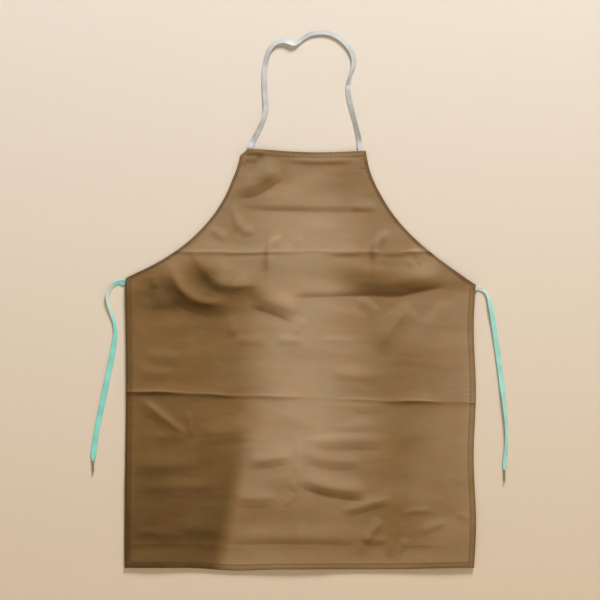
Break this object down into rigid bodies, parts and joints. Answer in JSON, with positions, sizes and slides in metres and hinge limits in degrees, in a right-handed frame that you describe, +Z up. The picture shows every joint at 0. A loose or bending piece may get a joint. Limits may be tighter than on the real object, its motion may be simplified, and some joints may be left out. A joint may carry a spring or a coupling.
{
  "type": "welding apron",
  "caption": "Bib apron of plain brown cloth with turned hems, a tape neck loop and two hanging tape waist ties tipped with metal aglets.",
  "frame": {"origin": "middle of the bottom hem's lower edge, at half of the whole thickness", "axes": "+Z up towards the neck loop, +X to the right as seen from the front, and the front of the apron faces -Y"},
  "size_m": [0.9119, 0.0057, 1.178],
  "materials": {
    "panel_cloth": "satin",
    "neck_tape": "matte",
    "tie_tape": "matte",
    "sewing_thread": "matte",
    "aglet_metal": "satin"
  },
  "bodies": {
    "waist": {"waist_panel": "panel_cloth", "left_armhole_seam_lower": "sewing_thread", "right_armhole_seam_lower": "sewing_thread", "left_side_seam_upper": "sewing_thread", "right_side_seam_upper": "sewing_thread", "left_tie_tail": "tie_tape", "right_tie_tail": "tie_tape", "left_tie_tack": "sewing_thread", "right_tie_tack": "sewing_thread"},
    "bib": {"bib_panel": "panel_cloth", "top_seam": "sewing_thread", "left_armhole_seam_upper": "sewing_thread", "right_armhole_seam_upper": "sewing_thread", "left_neck_tail": "neck_tape", "right_neck_tail": "neck_tape", "left_neck_tack": "sewing_thread", "right_neck_tack": "sewing_thread"},
    "skirt": {"skirt_panel": "panel_cloth", "left_side_seam_lower": "sewing_thread", "right_side_seam_lower": "sewing_thread", "bottom_seam": "sewing_thread"},
    "neck": {"neck_loop": "neck_tape"},
    "left_tie_base": {"left_tie_root": "tie_tape"},
    "left_tie_length": {"left_tie": "tie_tape", "left_aglet": "aglet_metal"},
    "right_tie_base": {"right_tie_root": "tie_tape"},
    "right_tie_length": {"right_tie": "tie_tape", "right_aglet": "aglet_metal"}
  },
  "joints": [
    {"name": "bib_fold", "type": "hinge", "parent": "waist", "child": "bib", "pos_m": [0, -0.00285, 0.695], "axis": [1, 0, 0], "range_deg": [0, 174]},
    {"name": "neck_fold", "type": "hinge", "parent": "bib", "child": "neck", "pos_m": [0, 0.00115, 0.924], "axis": [-1, 0, 0], "range_deg": [-135, 165]},
    {"name": "skirt_fold", "type": "hinge", "parent": "waist", "child": "skirt", "pos_m": [0, -0.00285, 0.373], "axis": [-1, 0, 0], "range_deg": [0, 155]},
    {"name": "left_tie_wrap", "type": "hinge", "parent": "waist", "child": "left_tie_base", "pos_m": [-0.388, 0.00065, 0.61812], "axis": [0, 0, -1], "range_deg": [-135, 150]},
    {"name": "left_tie_swing", "type": "hinge", "parent": "left_tie_base", "child": "left_tie_length", "pos_m": [-0.402, 0.00065, 0.61437], "axis": [0, 1, 0], "range_deg": [-8, 105]},
    {"name": "right_tie_wrap", "type": "hinge", "parent": "waist", "child": "right_tie_base", "pos_m": [0.388, 0.00065, 0.61812], "axis": [0, 0, 1], "range_deg": [-135, 150]},
    {"name": "right_tie_swing", "type": "hinge", "parent": "right_tie_base", "child": "right_tie_length", "pos_m": [0.402, 0.00065, 0.61437], "axis": [0, -1, 0], "range_deg": [-8, 105]}
  ]
}
